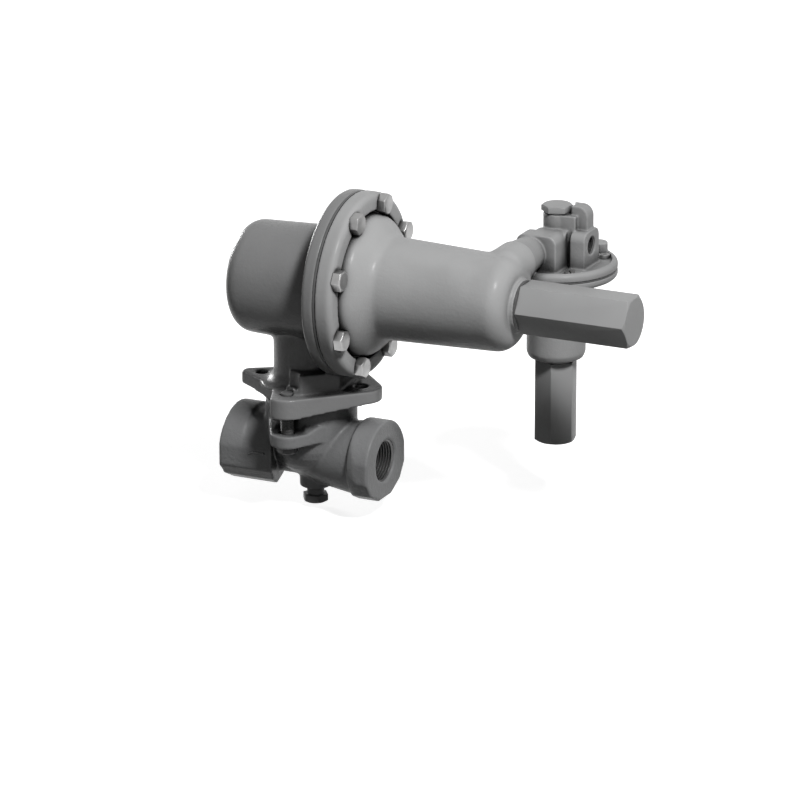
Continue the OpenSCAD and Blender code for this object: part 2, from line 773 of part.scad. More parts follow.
// Outer reach of the lever's cheeks from the middle plane
function cheek_out() = stem_r + 0.5 + cheek_t;

module stem_pin() {
    color("silver") rod_y(-cheek_out(), cheek_out(), cross_pin_r, stem_x, pivot_z);
}

module stem_guide() {
    guide_top = joint_z + neck_floor_t;
    color("goldenrod") translate([stem_x, 0, 0]) difference() {
        union() {
            rod_z(joint_z, guide_top, guide_r);
            rod_z(guide_top - 0.001, guide_top + guide_flange_h, guide_flange_r);
        }
        rod_z(joint_z - weld, guide_top + guide_flange_h + weld, stem_r + run_fit);
    }
}

module body_seal() {
    color("black") translate([stem_x, 0, joint_z - body_seal_r - 0.02])
        rotate_extrude() translate([seal_mid_r(), 0]) circle(r = body_seal_r);
}

module body_cap_screws() {
    tip_stand = 1.2;
    color("gray") for (side = [-1, 1]) translate([stem_x, side * ear_bolt_r, 0]) {
        rod_z(cap_head_z - weld, flange_top_z + tip_stand, cap_screw_r);
        translate([0, 0, cap_head_z]) rotate([180, 0, 30]) hex_head(screw_af, cap_head_h, screw_face_r(screw_af));
    }
}

module drain_plug() {
    seat_z = -drain_boss_depth;
    color("gray") translate([stem_x + drain_boss_dx, 0, 0]) {
        rod_z(seat_z - drain_reach - weld, seat_z + 7, drain_r);
        translate([0, 0, seat_z - drain_reach]) rotate([180, 0, 5])
            hex_head(drain_af, drain_head_h, screw_face_r(drain_af));
    }
}

// Housing outline along the actuator axis, [radius, distance from the seam]
function housing_points(back, r1, r2, front, round_r) =
    concat([[0, back]], arc_points([r1 - round_r, back + round_r], round_r, 270, 360),
        [[r2, front], [0, front]]);

module rear_casing() {
    back = -housing_back - seam_dx;
    color("gray") difference() {
        union() {
            difference() {
                rear_casing_outside(back);
                at_axis() {
                    translate([housing_drop, 0, 0]) turned(housing_points(back + housing_end_t,
                        housing_bore_r, housing_bore_r, -half_t - pan_depth + weld,
                        housing_round - housing_end_t));
                    rod_z(-half_t - pan_depth, weld, pan_r);
                }
                rod_z(joint_z + neck_floor_t, pivot_z, neck_bore_r, stem_x);
            }
            pivot_lugs();
        }
        rod_z(joint_z - weld, joint_z + neck_floor_t + weld, guide_r + seat_fit, stem_x);
        for (k = [0:3]) translate([stem_x, 0, 0]) rotate(90 * k)
            rod_z(joint_z - 2 * square_flange_drop, pedestal_pocket_z, screw_tap_r, ear_bolt_r);
        at_axis() screw_places()
            rod_z(-half_t - rear_flange_t + 1.7, weld, screw_tap_r);
        lug_out = lug_gap_half + lug_t + weld;
        rod_y(-lug_out, lug_out, pivot_pin_r + seat_fit, pivot_x, pivot_z);
    }
}

// Places of the casing screws, in the actuator's frame
module screw_places() {
    for (k = [0:screw_count - 1])
        rotate(90 + screw_clock + 360 * k / screw_count) translate([screw_circle_r, 0, 0])
            children();
}

module rear_casing_outside(back) {
    square_flange();
    translate([stem_x, 0, 0]) turned(concat([[0, flange_top_z - 2],
        [neck_r + neck_fillet, flange_top_z - 2]],
        arc_points([neck_r + neck_fillet, flange_top_z + neck_fillet], neck_fillet, 270, 180),
        [[neck_r, pivot_z], [0, pivot_z]]));
    pedestal();
    at_axis() {
        translate([housing_drop, 0, 0])
            turned(housing_points(back, housing_r1, housing_r2, -half_t - 4, housing_round));
        flange_back = -half_t - rear_flange_t;
        turned([[0, flange_back], [flange_r - 2, flange_back], [flange_r, flange_back + 2],
            [flange_r, -half_t - seam_chamfer], [flange_r - seam_chamfer, -half_t], [0, -half_t]]);
    }
}

// The underside slopes down towards the two corners above the ears
module square_flange() {
    corner = ear_bolt_r + square_corner_r;
    underside = [[corner * 0.2, joint_z + square_flange_lift],
        [corner * 0.9, joint_z - square_flange_drop],
        [corner + weld, joint_z - square_flange_drop], [corner + weld, flange_top_z]];
    difference() {
        union() {
            intersection() {
                translate([stem_x, 0, joint_z - 2 * square_flange_drop])
                    linear_extrude(square_flange_t + 3 * square_flange_drop) difference() {
                        square_outline(square_corner_r);
                        inlet_side_hollows();
                    }
                along_x(stem_x - corner - weld, 2 * (corner + weld))
                    polygon(concat(underside, [for (k = [3:-1:0]) [-underside[k][0], underside[k][1]]]));
            }
            rod_z(joint_z, flange_top_z - weld, bonnet_r, stem_x);
        }
        rod_z(joint_z - 2 * square_flange_drop, joint_z, bonnet_r + 0.6, stem_x);
    }
}

// Hollows in the flange's two sides towards the inlet, down to the bonnet's radius
module inlet_side_hollows() {
    notch = bonnet_r * [-cos(60), -sin(60)];
    to_side = [-ear_bolt_r, 0] - notch;
    to_front = [0, -ear_bolt_r] - notch;
    side_a = atan2(to_side[1], to_side[0]) + asin(flange_ear_half / norm(to_side));
    front_a = atan2(to_front[1], to_front[0]) - asin(flange_ear_half / norm(to_front));
    far = 2 * ear_bolt_r;
    for (flip = [0, 1]) mirror([0, flip]) polygon([notch, notch + far * [cos(side_a), sin(side_a)],
        [-far, -far], notch + far * [cos(front_a), sin(front_a)]]);
}

// Stands on the square flange, with room for the screws beside it
module pedestal() {
    pedestal_back = 3;
    top_z = flange_top_z + pedestal_h;
    difference() {
        translate([stem_x, 0, flange_top_z - weld]) linear_extrude(pedestal_h + weld) intersection() {
            square_outline(square_corner_r - pedestal_inset);
            translate([-pedestal_back, -ear_bolt_r])
                square([pedestal_back + seam_dx - half_t - 2, 2 * ear_bolt_r]);
        }
        for (side = [-1, 1])
            rod_z(pedestal_pocket_z, top_z + weld, head_pocket_r - 0.4, stem_x, side * ear_bolt_r);
    }
}

module pivot_lugs() {
    base_z = axis_z - housing_drop - housing_bore_r - 2;
    for (side = [-1, 1])
        translate([pivot_x - hub_r, side * (lug_gap_half + lug_t / 2) - lug_t / 2, base_z])
            cube([2 * hub_r, lug_t, pivot_z + hub_r - 1 - base_z]);
}

// One cheek's arm from the pivot out to the slot, along local X
module lever_arm(reach, slot_out) {
    difference() {
        union() {
            translate([0, -arm_half_w, 0]) cube([reach + 1, 2 * arm_half_w, cheek_t]);
            translate([reach + 1, 0, 0]) cylinder(r = arm_half_w, h = cheek_t);
        }
        translate([reach - 1, -slot_half_w, -weld])
            cube([slot_out + 1, 2 * slot_half_w, cheek_t + 2 * weld]);
        for (x = [-1, slot_out]) translate([reach + x, 0, -weld])
            cylinder(r = slot_half_w, h = cheek_t + 2 * weld);
    }
}

module lever() {
    hub_half = lug_gap_half - 0.3;
    cheek_in = cheek_out() - cheek_t;
    color("silver") translate([pivot_x, 0, pivot_z]) difference() {
        union() {
            rod_y(-hub_half, hub_half, hub_r);
            for (y = [-cheek_out(), cheek_in]) translate([0, y, 0]) rotate([-90, 0, 0]) {
                lever_arm(short_arm, 1.2);
                rotate(-90) lever_arm(long_arm, 1.8);
            }
        }
        rod_y(-hub_half - weld, hub_half + weld, pivot_pin_r + run_fit);
    }
}

module lever_pin() {
    pin_half = lug_gap_half + lug_t;
    color("silver") rod_y(-pin_half, pin_half, pivot_pin_r, pivot_x, pivot_z);
}

module pusher_post() {
    tongue_half = stem_r;
    tongue_front = pivot_x + arm_half_w + 1.4;
    plate_x = seam_x - half_t - plate_t;
    color("silver") difference() {
        union() {
            translate([pivot_x - 6, -tongue_half, axis_z - 6])
                cube([tongue_front + weld - pivot_x + 6, 2 * tongue_half, 12]);
            rod_x(tongue_front, plate_x, post_r, 0, axis_z);
            rod_x(plate_x - 4, plate_x, 2 * post_r, 0, axis_z);
            rod_x(plate_x - weld, seam_x + head_top_h + nut_h + 2, post_stud_r, 0, axis_z);
        }
        rod_y(-tongue_half - weld, tongue_half + weld, cross_pin_r + seat_fit, pivot_x, axis_z);
    }
}

module post_pin() {
    color("silver") rod_y(-cheek_out(), cheek_out(), cross_pin_r, pivot_x, axis_z);
}

// Flat web with one rolled convolution that bulges towards the spring
module diaphragm() {
    color("black") at_axis() difference() {
        rotate_extrude() {
            translate([post_stud_r + seat_fit, -half_t])
                square([roll_r - roll_arc_r - post_stud_r, diaphragm_t]);
            translate([roll_r + roll_arc_r, -half_t])
                square([flange_r - 0.75 * seam_chamfer - roll_r - roll_arc_r, diaphragm_t]);
            intersection() {
                difference() {
                    translate([roll_r, 0]) circle(r = roll_arc_r + half_t);
                    translate([roll_r, 0]) circle(r = roll_arc_r - half_t);
                }
                translate([roll_r - 2 * roll_arc_r, 0]) square(4 * roll_arc_r);
            }
        }
        screw_places() rod_z(-half_t - weld, half_t + weld, screw_clear_r);
    }
}

module diaphragm_plate() {
    color("silver") at_axis()
        ring(post_stud_r + seat_fit, plate_r, -half_t - plate_t, -half_t);
}

module diaphragm_head() {
    color("silver") at_axis() ring(post_stud_r + seat_fit, plate_r, half_t, head_top_h);
}

module diaphragm_nut() {
    color("silver") at_axis() translate([0, 0, head_top_h]) difference() {
        hex_head(nut_af, nut_h, full_face_r(nut_af));
        rod_z(-weld, nut_h + weld, post_stud_r + seat_fit);
    }
}

// Radius of the dome at height h above the seam, an S curve from foot to barrel
function dome_r_at(h) = let (s = (h - dome_foot_h) / (dome_len - dome_foot_h))
    barrel_r1 + (dome_r - barrel_r1) * (1 + cos(180 * s)) / 2;

dome_heights = [for (i = [0:10]) dome_foot_h + (dome_len - dome_foot_h) * i / 10];

module spring_case() {
    boss_face_room = 6;
    color("gray") difference() {
        union() {
            at_axis() spring_case_outside();
            pilot_boss();
        }
        at_axis() {
            spring_case_bore();
            screw_places() {
                rod_z(half_t - weld, screw_seat_h + weld, screw_clear_r);
                rod_z(screw_seat_h, rim_top_h + weld, head_pocket_r);
            }
        }
        rod_y(boss_reach, boss_reach + boss_face_room, boss_r + 0.6, hub_x, hub_z);
        rod_y(boss_reach - spigot_len - 0.5, boss_reach + weld, spigot_r + seat_fit, hub_x, hub_z);
        rod_y(0, boss_reach, pilot_passage_r, hub_x, hub_z - spigot_r / 2);
    }
}

// Starts as a cone inside the barrel's wall, so that it grows out of the barrel's back.
// Its end is faced off together with what the barrel has beside it.
module pilot_boss() {
    cone_start = -6;
    cone_end = 8;
    translate([hub_x, cone_start, hub_z]) rotate([-90, 0, 0])
        cylinder(r1 = boss_r / 2, r2 = boss_r, h = cone_end - cone_start);
    rod_y(cone_end, boss_reach + weld, boss_r, hub_x, hub_z);
}

module spring_case_outside() {
    turned(concat([[0, half_t], [flange_r - seam_chamfer, half_t], [flange_r, half_t + seam_chamfer]],
        arc_points([flange_r - flange_round, rim_top_h - flange_round], flange_round, 0, 90),
        [[rim_r, rim_top_h], [rim_r, groove_floor_h], [dome_r, groove_floor_h]],
        [for (h = dome_heights) [dome_r_at(h), h]],
        arc_points([barrel_r2 - barrel_round, barrel_len - barrel_round], barrel_round, 0, 90),
        [[shoulder_r, barrel_len], [shoulder_r, nose_start_h], [nose_r, nose_start_h],
            [nose_r, nose_end_h], [0, nose_end_h]]));
}

module spring_case_bore() {
    bore_end = barrel_len - barrel_end_t;
    end_bevel = 10;
    turned(concat([[0, half_t - weld], [pan_r, half_t - weld], [pan_r, groove_floor_h - 1]],
        [for (h = dome_heights) [dome_r_at(h) - barrel_wall, h]],
        [[barrel_r2 - barrel_wall, bore_end - end_bevel],
            [barrel_r2 - barrel_wall - end_bevel, bore_end],
            [0, bore_end]]));
    rod_z(bore_end - weld, nose_end_h + weld, adjust_r + run_fit);
}

module casing_screws() {
    color("silver") at_axis() screw_places() {
        rod_z(-half_t - rear_flange_t + 2.5, screw_seat_h + weld, cap_screw_r);
        translate([0, 0, screw_seat_h]) rotate(20) hex_head(screw_af, screw_head_h, screw_face_r(screw_af));
    }
}

module main_spring() {
    color("darkslategray") at_axis() translate([0, 0, head_top_h])
        coil(spring_or, spring_wire_r, spring_seat_x - head_top_h, spring_turns);
}

module main_spring_seat() {
    color("silver") at_axis() difference() {
        union() {
            rod_z(spring_seat_x, spring_seat_x + spring_seat_t, spring_seat_r);
            rod_z(spring_seat_x - 5, spring_seat_x + weld, spring_or - 2 * spring_wire_r - 0.5);
        }
        rod_z(spring_seat_x + spring_seat_t - 3, spring_seat_x + spring_seat_t + weld,
            adjust_r + run_fit);
    }
}

module main_adjusting_screw() {
    screw_tip = spring_seat_x + spring_seat_t - 3 + stop_gap;
    color("silver") at_axis() difference() {
        rod_z(screw_tip, screw_tip + adjust_len, adjust_r);
        translate([-adjust_r - weld, -1.25, screw_tip + adjust_len - 4])
            cube([2 * (adjust_r + weld), 2.5, 4 + weld]);
    }
}

module main_lock_nut() {
    color("silver") at_axis() translate([0, 0, nose_end_h]) difference() {
        hex_head(lock_af, lock_h, full_face_r(lock_af));
        rod_z(-weld, lock_h + weld, adjust_r + run_fit);
    }
}

module main_cap_gasket() {
    color("dimgray") at_axis()
        ring(nose_r + run_fit, shoulder_r - 0.5, nose_start_h, cap_start_h);
}

module main_closing_cap() {
    nut_room_r = lock_af / sqrt(3) + 0.5;
    color("gray") at_axis() difference() {
        translate([0, 0, cap_start_h]) rotate(30) hex_head(cap_af, cap_len, full_face_r(cap_af));
        rod_z(cap_start_h - weld, nose_end_h + 1, nose_r + run_fit);
        rod_z(nose_end_h, cap_start_h + cap_len - cap_end_t, nut_room_r);
    }
}

// Places of the pilot casing screws, in the pilot's frame
module pilot_screw_places() {
    for (k = [0:pilot_screw_count - 1])
        rotate(pilot_screw_clock + 360 * k / pilot_screw_count)
            translate([pilot_screw_circle_r, 0, 0]) children();
}

// Upright outline with rounded upper corners
module block_outline(left, right) {
    round_z = block_top - block_round;
    polygon(concat([[right, pilot_half_t + weld]],
        arc_points([right - block_round, round_z], block_round, 0, 90),
        arc_points([block_round - left, round_z], block_round, 90, 180),
        [[-left, pilot_half_t + weld]]));
}

module pilot_body() {
    color("gray") difference() {
        union() {
            at_pilot() pilot_body_outside();
            hub_end = pilot_y - block_reach_y + weld;
            translate([hub_x, boss_reach, hub_z]) rotate([-90, 0, 0])
                cylinder(r1 = hub_r1, r2 = hub_r2, h = hub_end - boss_reach);
            rod_y(boss_reach - spigot_len, boss_reach + weld, spigot_r, hub_x, hub_z);
        }
        at_pilot() pilot_body_inside();
        hub_passage_end = pilot_y - valve_chamber_r - 1.5;
        rod_y(boss_reach - spigot_len - weld, hub_passage_end, pilot_passage_r, hub_x, hub_z);
        rod_z(pilot_z + mixing_floor + 1, hub_z, pilot_passage_r, hub_x,
            hub_passage_end - pilot_passage_r);
    }
}

module pilot_body_outside() {
    rim_top = pilot_half_t + pilot_flange_t;
    flange_top = rim_top - pilot_recess;
    rim_round = 3.5;
    pad_clock = 56;
    pad_r = 7;
    // Reach of the hub block's narrow part, and its own reach along -X
    neck_stop = 8;
    neck_half_w = 14.5;
    turned(concat([[0, pilot_half_t], [pilot_flange_r - seam_chamfer, pilot_half_t],
        [pilot_flange_r, pilot_half_t + seam_chamfer]],
        arc_points([pilot_flange_r - rim_round, rim_top - rim_round], rim_round, 0, 90),
        [[pilot_flange_r - pilot_rim_w, rim_top],
            [pilot_flange_r - pilot_rim_w - 1, flange_top], [0, flange_top]]));
    rotate(pad_clock) rod_z(flange_top - weld, rim_top + pilot_pad_h, pad_r, pilot_flange_r - pad_r - 2);
    difference() {
        union() {
            along_x(0, block_reach_x) block_outline(port_block_half_w, port_block_half_w);
            rotate(-90) along_x(neck_stop, hub_block_stop + weld - neck_stop)
                block_outline(neck_half_w, block_half_w);
            rotate(-90) along_x(hub_block_stop, block_reach_y - hub_block_stop)
                block_outline(block_reach_back, block_half_w);
        }
        block_notch(flange_top);
    }
    rod_z(pilot_half_t + weld, block_top - block_round, core_r);
    difference() {
        union() {
            rod_z(pilot_half_t + weld, tower_top, tower_r);
            lobe(flange_top);
        }
        rod_z(tower_top, lobe_top + weld, top_plug_af / sqrt(3) + 1.5);
    }
}

// Upright notch between the hub block and the port block
module block_notch(foot) {
    notch_w = 4;
    notch_depth = 6;
    translate([block_half_w, -port_block_half_w - notch_w, foot])
        cube([notch_w, notch_w + notch_depth, block_top - foot + weld]);
}

// Arched lobe beside the top plug, grown out of the tower's web
module lobe(foot) {
    lobe_back = 8;
    web_half_w = tower_r - 2;
    centre = [lobe_reach - lobe_round, lobe_top - lobe_round];
    translate([0, lobe_back, 0]) rotate([90, 0, 0]) linear_extrude(lobe_w)
        polygon(concat([[0, foot], [lobe_reach, foot]], arc_points(centre, lobe_round, 0, 90, 12),
            [[0, lobe_top]]));
    translate([0, -web_half_w, foot])
        cube([lobe_reach - lobe_round, 2 * web_half_w, tower_top - foot]);
}

module pilot_body_inside() {
    rod_z(pilot_half_t - weld, pilot_pan_top, pilot_pan_r);
    rod_z(pilot_pan_top - weld, mixing_floor + weld, pusher_r + run_fit);
    rod_z(mixing_floor, mixing_top, valve_chamber_r + 2);
    rod_z(mixing_top - weld, pilot_seat_floor + weld, pilot_orifice_r);
    rod_z(pilot_seat_floor, chamber_floor + weld, pilot_seat_r + seat_fit);
    rod_z(chamber_floor, tower_top + weld, valve_chamber_r);
    rod_x(block_reach_x - pilot_port_depth, block_reach_x + weld, pilot_port_r, 0, pilot_port_z);
    rod_x(0, block_reach_x - pilot_port_depth + weld, pilot_passage_r, 0, pilot_port_z);
    pilot_screw_places() {
        rod_z(pilot_half_t - weld, block_top, pilot_screw_r + 0.3);
        rod_z(pilot_half_t + pilot_flange_t - pilot_recess, block_top, pilot_head_r + 0.5);
    }
}

module pilot_top_plug() {
    color("gray") at_pilot() {
        rod_z(top_plug_floor, tower_top + top_seal_t + weld, valve_chamber_r - seat_fit);
        translate([0, 0, tower_top + top_seal_t]) rotate(top_plug_clock)
            hex_head(top_plug_af, top_plug_h, full_face_r(top_plug_af));
    }
}

module top_plug_seal() {
    color("dimgray") at_pilot()
        ring(valve_chamber_r, top_plug_af / 2 - 0.3, tower_top, tower_top + top_seal_t);
}

module pilot_valve_plug() {
    color("silver") at_pilot() {
        rod_z(plug_bottom, plug_bottom + 3, pilot_orifice_r + 1.4);
        rod_z(plug_bottom + 3 - 0.001, plug_top, valve_chamber_r - run_fit);
        rod_z(plug_top - weld, plug_top + 2, 2.4);
    }
}

module pilot_seat() {
    color("silver") at_pilot() difference() {
        union() {
            rod_z(pilot_seat_floor, chamber_floor, pilot_seat_r);
            rod_z(chamber_floor - weld, pilot_seat_top, pilot_orifice_r + 0.8);
        }
        rod_z(pilot_seat_floor - weld, pilot_seat_top + weld, pilot_orifice_r);
    }
}

module plug_spring() {
    plug_spring_or = 4;
    plug_wire_r = 0.6;
    color("silver") at_pilot() translate([0, 0, plug_top])
        coil(plug_spring_or, plug_wire_r, top_plug_floor - plug_top, 4, 12, 6);
}

module pilot_diaphragm() {
    color("black") at_pilot() difference() {
        ring(pusher_r + seat_fit, pilot_flange_r - 0.75 * seam_chamfer, -pilot_half_t, pilot_half_t);
        pilot_screw_places() rod_z(-pilot_half_t - weld, pilot_half_t + weld, pilot_screw_r + 0.3);
    }
}

module pilot_pusher() {
    color("silver") at_pilot() {
        rod_z(-lower_plate_floor - 4.5, plug_bottom, pusher_r);
        rod_z(pilot_half_t, pilot_half_t + pusher_plate_t, pusher_plate_r);
    }
}

module pilot_diaphragm_plate() {
    color("silver") at_pilot()
        ring(pusher_r + seat_fit, pusher_plate_r, -lower_plate_floor, -pilot_half_t);
}

module pilot_pusher_nut() {
    nut_h = 3.5;
    color("silver") at_pilot() translate([0, 0, -lower_plate_floor]) rotate([180, 0, 0])
        difference() {
            hex_head(4 * pusher_r, nut_h, full_face_r(4 * pusher_r));
            rod_z(-weld, nut_h + weld, pusher_r + seat_fit);
        }
}

module pilot_spring_case() {
    flange_under = -pilot_half_t - lower_flange_t;
    color("gray") at_pilot() difference() {
        union() {
            turned([[0, -pilot_half_t], [pilot_flange_r - seam_chamfer, -pilot_half_t],
                [pilot_flange_r, -pilot_half_t - seam_chamfer], [pilot_flange_r, flange_under + 2],
                [pilot_flange_r - 2, flange_under], [cone_r1, flange_under],
                [tube_r, -cone_depth], [tube_r, -tube_depth + tube_round],
                [tube_r - 0.3 * tube_round, -tube_depth + 0.3 * tube_round],
                [tube_r - tube_round, -tube_depth], [pilot_nose_r, -tube_depth],
                [pilot_nose_r, -pilot_nose_end], [0, -pilot_nose_end]]);
            pilot_screw_places() rod_z(flange_under - pilot_lug_h, flange_under + weld, pilot_lug_r);
        }
        spring_floor = -tube_depth + 10;
        turned([[0, weld], [pilot_pan_r, weld], [pilot_pan_r, flange_under + 1],
            [tube_bore_r, -cone_depth + 4], [tube_bore_r, spring_floor], [0, spring_floor]]);
        rod_z(-pilot_nose_end - weld, spring_floor + weld, pilot_adjust_r + run_fit);
        pilot_screw_places() rod_z(flange_under - pilot_lug_h + 1.5, weld, pilot_screw_r + seat_fit);
    }
}

module pilot_casing_screws() {
    seat = pilot_half_t + pilot_flange_t - pilot_recess;
    color("silver") at_pilot() pilot_screw_places() difference() {
        union() {
            rod_z(-pilot_half_t - lower_flange_t - pilot_lug_h + 2.5, seat + weld, pilot_screw_r);
            rod_z(seat, seat + pilot_head_h, pilot_head_r);
        }
        translate([-pilot_head_r - weld, -0.6, seat + pilot_head_h - 1.4])
            cube([2 * (pilot_head_r + weld), 1.2, 1.4 + weld]);
    }
}

module pilot_spring() {
    color("darkslategray") at_pilot() translate([0, 0, -pilot_seat_depth])
        coil(pilot_spring_or, pilot_wire_r, pilot_seat_depth - lower_plate_floor,
            pilot_spring_turns, 16, 6);
}

module pilot_spring_seat() {
    color("silver") at_pilot() difference() {
        union() {
            rod_z(-pilot_seat_depth - pilot_spring_seat_t, -pilot_seat_depth, tube_bore_r - 1);
            rod_z(-pilot_seat_depth - weld, -pilot_seat_depth + 3,
                pilot_spring_or - 2 * pilot_wire_r - 0.5);
        }
        rod_z(-pilot_seat_depth - pilot_spring_seat_t - weld,
            -pilot_seat_depth - pilot_spring_seat_t + 1.5, pilot_adjust_r + run_fit);
    }
}

module pilot_adjusting_screw() {
    screw_tip = -pilot_seat_depth - pilot_spring_seat_t + 1.5 - stop_gap;
    color("silver") at_pilot() difference() {
        rod_z(screw_tip - pilot_adjust_len, screw_tip, pilot_adjust_r);
        translate([-pilot_adjust_r - weld, -0.8, screw_tip - pilot_adjust_len - weld])
            cube([2 * (pilot_adjust_r + weld), 1.6, 2.5 + weld]);
    }
}

module pilot_lock_nut() {
    color("silver") at_pilot() translate([0, 0, -pilot_nose_end]) rotate([180, 0, 0])
        difference() {
            hex_head(pilot_lock_af, pilot_lock_h, full_face_r(pilot_lock_af));
            rod_z(-weld, pilot_lock_h + weld, pilot_adjust_r + run_fit);
        }
}

module pilot_cap_gasket() {
    color("dimgray") at_pilot()
        ring(pilot_nose_r + run_fit, pilot_cap_af / 2, -pilot_cap_start, -tube_depth);
}

module pilot_closing_cap() {
    nut_room_r = pilot_lock_af / sqrt(3) + 0.5;
    cap_floor = pilot_cap_start + pilot_cap_len - pilot_cap_end_t;
    color("gray") at_pilot() difference() {
        translate([0, 0, -pilot_cap_start]) rotate([180, 0, pilot_cap_clock])
            hex_head(pilot_cap_af, pilot_cap_len, full_face_r(pilot_cap_af));
        rod_z(-pilot_nose_end - 1, -pilot_cap_start + weld, pilot_nose_r + run_fit);
        rod_z(-cap_floor, -pilot_nose_end, nut_room_r);
    }
}

valve_body();
seat_ring();
valve_disc();
disc_holder();
valve_stem();
stem_pin();
stem_guide();
body_seal();
body_cap_screws();
drain_plug();
rear_casing();
lever();
lever_pin();
pusher_post();
post_pin();
diaphragm();
diaphragm_plate();
diaphragm_head();
diaphragm_nut();
spring_case();
casing_screws();
main_spring();
main_spring_seat();
main_adjusting_screw();
main_lock_nut();
main_cap_gasket();
main_closing_cap();
pilot_body();
pilot_top_plug();
top_plug_seal();
pilot_valve_plug();
pilot_seat();
plug_spring();
pilot_diaphragm();
pilot_pusher();
pilot_diaphragm_plate();
pilot_pusher_nut();
pilot_spring_case();
pilot_casing_screws();
pilot_spring();
pilot_spring_seat();
pilot_adjusting_screw();
pilot_lock_nut();
pilot_cap_gasket();
pilot_closing_cap();
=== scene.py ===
"""Looks of a pilot-loaded gas pressure regulator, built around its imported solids. Metres."""

import json
import math

import bpy
import numpy as np
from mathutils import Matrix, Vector


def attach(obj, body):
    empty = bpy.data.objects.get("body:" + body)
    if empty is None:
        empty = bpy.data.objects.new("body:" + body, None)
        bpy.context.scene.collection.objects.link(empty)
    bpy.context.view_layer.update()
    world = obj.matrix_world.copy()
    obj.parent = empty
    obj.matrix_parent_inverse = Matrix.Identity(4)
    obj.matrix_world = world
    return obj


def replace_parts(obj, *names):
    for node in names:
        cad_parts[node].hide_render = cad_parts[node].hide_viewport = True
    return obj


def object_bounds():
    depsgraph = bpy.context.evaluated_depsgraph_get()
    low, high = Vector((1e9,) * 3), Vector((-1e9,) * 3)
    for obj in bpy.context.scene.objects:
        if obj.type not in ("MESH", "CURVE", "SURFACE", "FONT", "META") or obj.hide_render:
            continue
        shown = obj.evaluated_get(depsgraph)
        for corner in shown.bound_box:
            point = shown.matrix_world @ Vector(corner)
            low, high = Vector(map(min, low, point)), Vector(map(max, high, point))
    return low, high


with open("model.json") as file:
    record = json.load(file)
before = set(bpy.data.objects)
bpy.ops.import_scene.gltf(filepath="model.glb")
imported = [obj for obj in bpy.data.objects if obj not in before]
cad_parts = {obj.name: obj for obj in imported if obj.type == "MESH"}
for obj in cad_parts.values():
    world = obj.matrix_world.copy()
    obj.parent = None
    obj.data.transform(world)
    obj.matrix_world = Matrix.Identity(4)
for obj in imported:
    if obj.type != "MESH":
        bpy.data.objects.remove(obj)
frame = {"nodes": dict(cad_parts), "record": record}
cad_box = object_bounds()

MOUNTS = {mount["name"]: mount for mount in frame["record"]["mounts"]}
OUTLET_X = MOUNTS["outlet"]["pos_m"][0]
PORT_R = MOUNTS["outlet"]["dims"]["r_mm"] / 1000
PILOT_PORT = MOUNTS["pilot_port"]["pos_m"]
PILOT_PORT_R = MOUNTS["pilot_port"]["dims"]["r_mm"] / 1000

# Axis of the stem, and the two cap screws on either side of it
STEM_X = 0.062
EAR_Y = 0.0415

# Advance per turn of the threads that show
LINE_PITCH = 0.002209
PILOT_PITCH = 0.00141
CAP_SCREW_PITCH = 0.001588

# The middle of the part, which every lamp points at
LAMP_TARGET = (0.13, 0.02, 0.08)

# Light that falls on the part from all round, and the floor's reflection of the lamps
AMBIENT = 0.035
FLOOR_RETURN = 0.04


def add_camera():
    """The camera that was fitted to the photo."""
    azimuth = math.radians(25.3)
    elevation = math.radians(18.2)
    target = Vector((0.1358, 0.0, 0.050))
    distance = 4.5
    away = Vector((math.sin(azimuth) * math.cos(elevation),
                   -math.cos(azimuth) * math.cos(elevation),
                   math.sin(elevation)))
    data = bpy.data.cameras.new("camera")
    data.lens = 270
    data.sensor_width = 36
    data.clip_end = 50
    camera = bpy.data.objects.new("camera", data)
    camera.location = target + distance * away
    camera.rotation_euler = (-away).to_track_quat("-Z", "Y").to_euler()
    bpy.context.scene.collection.objects.link(camera)
    bpy.context.scene.camera = camera


